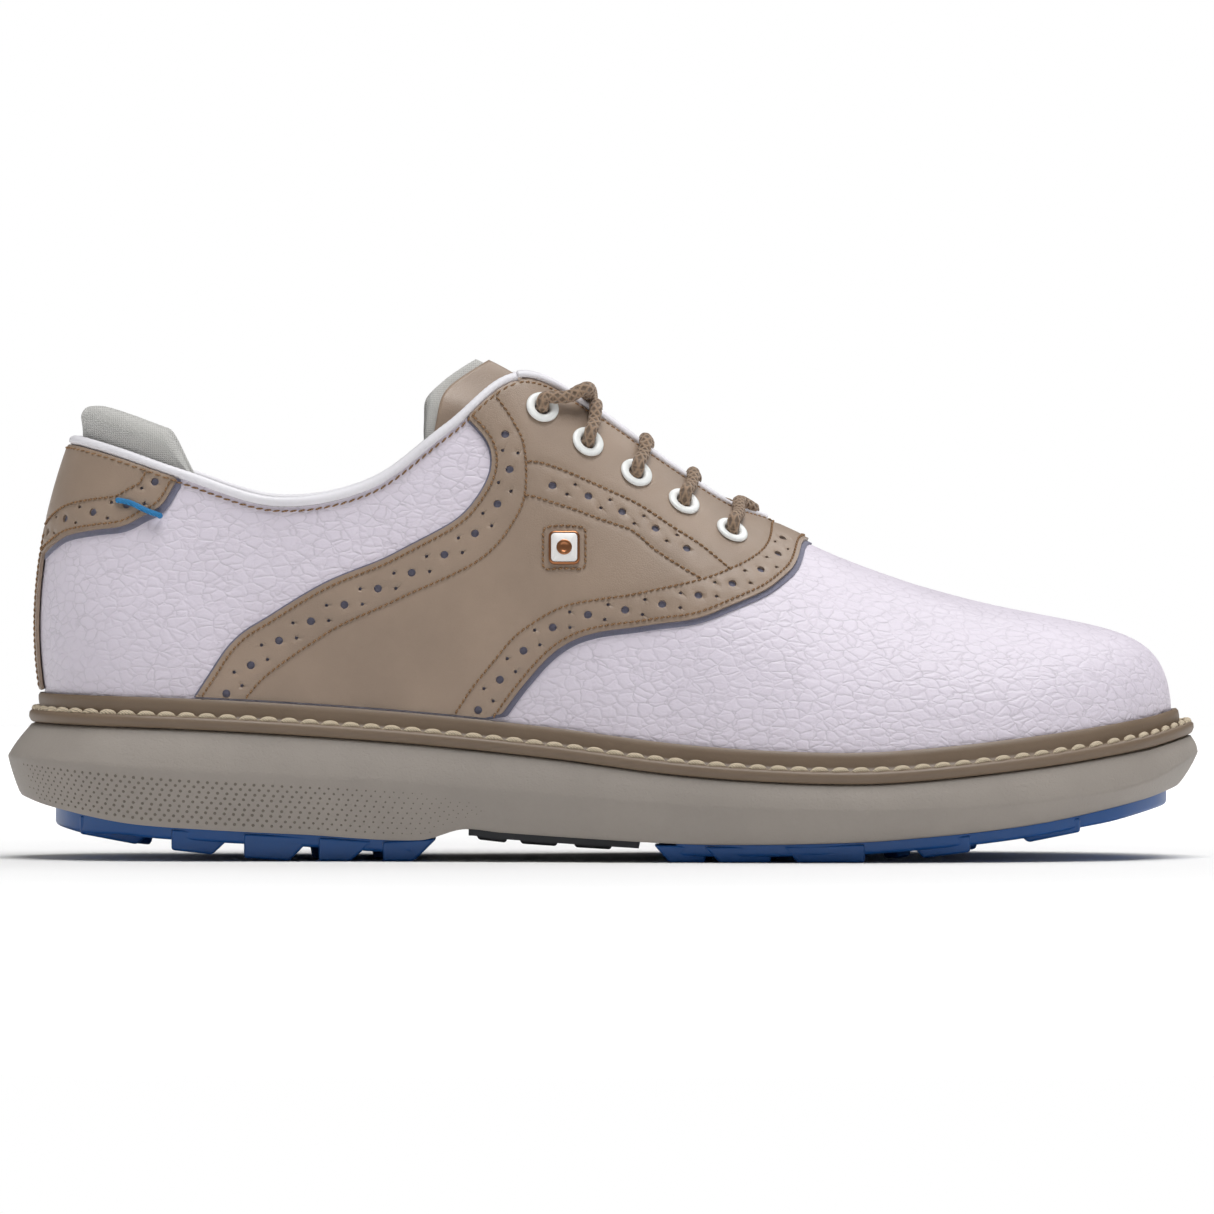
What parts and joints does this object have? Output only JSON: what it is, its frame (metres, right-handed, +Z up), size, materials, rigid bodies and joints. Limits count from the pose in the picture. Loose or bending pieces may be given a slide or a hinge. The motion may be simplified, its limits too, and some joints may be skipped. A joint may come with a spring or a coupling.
{
  "type": "golf_shoe",
  "caption": "Spikeless saddle golf shoe for the right foot: white pebbled leather with tan brogued saddles, brown lace, padded collar, stitched welt, grey midsole and blue lugged outsole.",
  "frame": {"origin": "centre of the bounding box in plan, on the ground under the tread", "axes": "+X from heel to toe, +Y from the outer (lateral) side to the inner (medial) side, +Z up"},
  "size_m": [0.3078, 0.1141, 0.1302],
  "materials": {
    "white_leather": "satin",
    "tan_leather": "satin",
    "piping_white": "satin",
    "underlay_fabric": "matte",
    "collar_knit": "matte",
    "lining_fabric": "matte",
    "foam": "matte",
    "board": "matte",
    "midsole_foam": "matte",
    "blue_tpu": "satin",
    "dark_tpu": "satin",
    "welt_rubber": "matte",
    "cream_thread": "matte",
    "lace_cord": "matte",
    "eyelet_white": "satin",
    "steel": "satin",
    "copper": "satin"
  },
  "bodies": {
    "shoe": {"vamp": "white_leather", "quarter_lateral": "white_leather", "quarter_medial": "white_leather", "saddle_lateral": "tan_leather", "saddle_medial": "tan_leather", "heel_patch": "tan_leather", "heel_strip": "tan_leather", "collar_piping": "piping_white", "throat_piping_lateral": "piping_white", "throat_piping_medial": "piping_white", "saddle_underlay_lateral": "underlay_fabric", "saddle_underlay_medial": "underlay_fabric", "heel_patch_underlay": "underlay_fabric", "collar_lining": "collar_knit", "quarter_lining_lateral": "lining_fabric", "quarter_lining_medial": "lining_fabric", "vamp_lining": "lining_fabric", "collar_foam": "foam", "forefoot_filler": "foam", "footbed": "foam", "insole_board": "board", "heel_counter": "board", "toe_puff": "board", "eyelet_facing_lateral": "board", "eyelet_facing_medial": "board", "midsole": "midsole_foam", "outsole_heel": "blue_tpu", "outsole_forefoot": "blue_tpu", "arch_plate": "dark_tpu", "welt": "welt_rubber", "welt_stitching": "cream_thread", "aglet_lateral": "cream_thread", "aglet_medial": "cream_thread", "lace": "lace_cord", "eyelet_lateral_1": "eyelet_white", "eyelet_lateral_2": "eyelet_white", "eyelet_lateral_3": "eyelet_white", "eyelet_lateral_4": "eyelet_white", "eyelet_lateral_5": "eyelet_white", "eyelet_medial_1": "eyelet_white", "eyelet_medial_2": "eyelet_white", "eyelet_medial_3": "eyelet_white", "eyelet_medial_4": "eyelet_white", "eyelet_medial_5": "eyelet_white", "shank": "steel", "side_badge": "copper", "heel_tack_thread": "blue_tpu"},
    "tongue": {"tongue_face": "tan_leather", "tongue_padding": "foam", "tongue_lining": "lining_fabric"}
  },
  "joints": [
    {"name": "tongue_hinge", "type": "hinge", "parent": "shoe", "child": "tongue", "pos_m": [0.049, 0, 0.0755], "axis": [0, -1, 0], "range_deg": [0, 12], "stiffness_Nm_per_rad": 0.4}
  ]
}
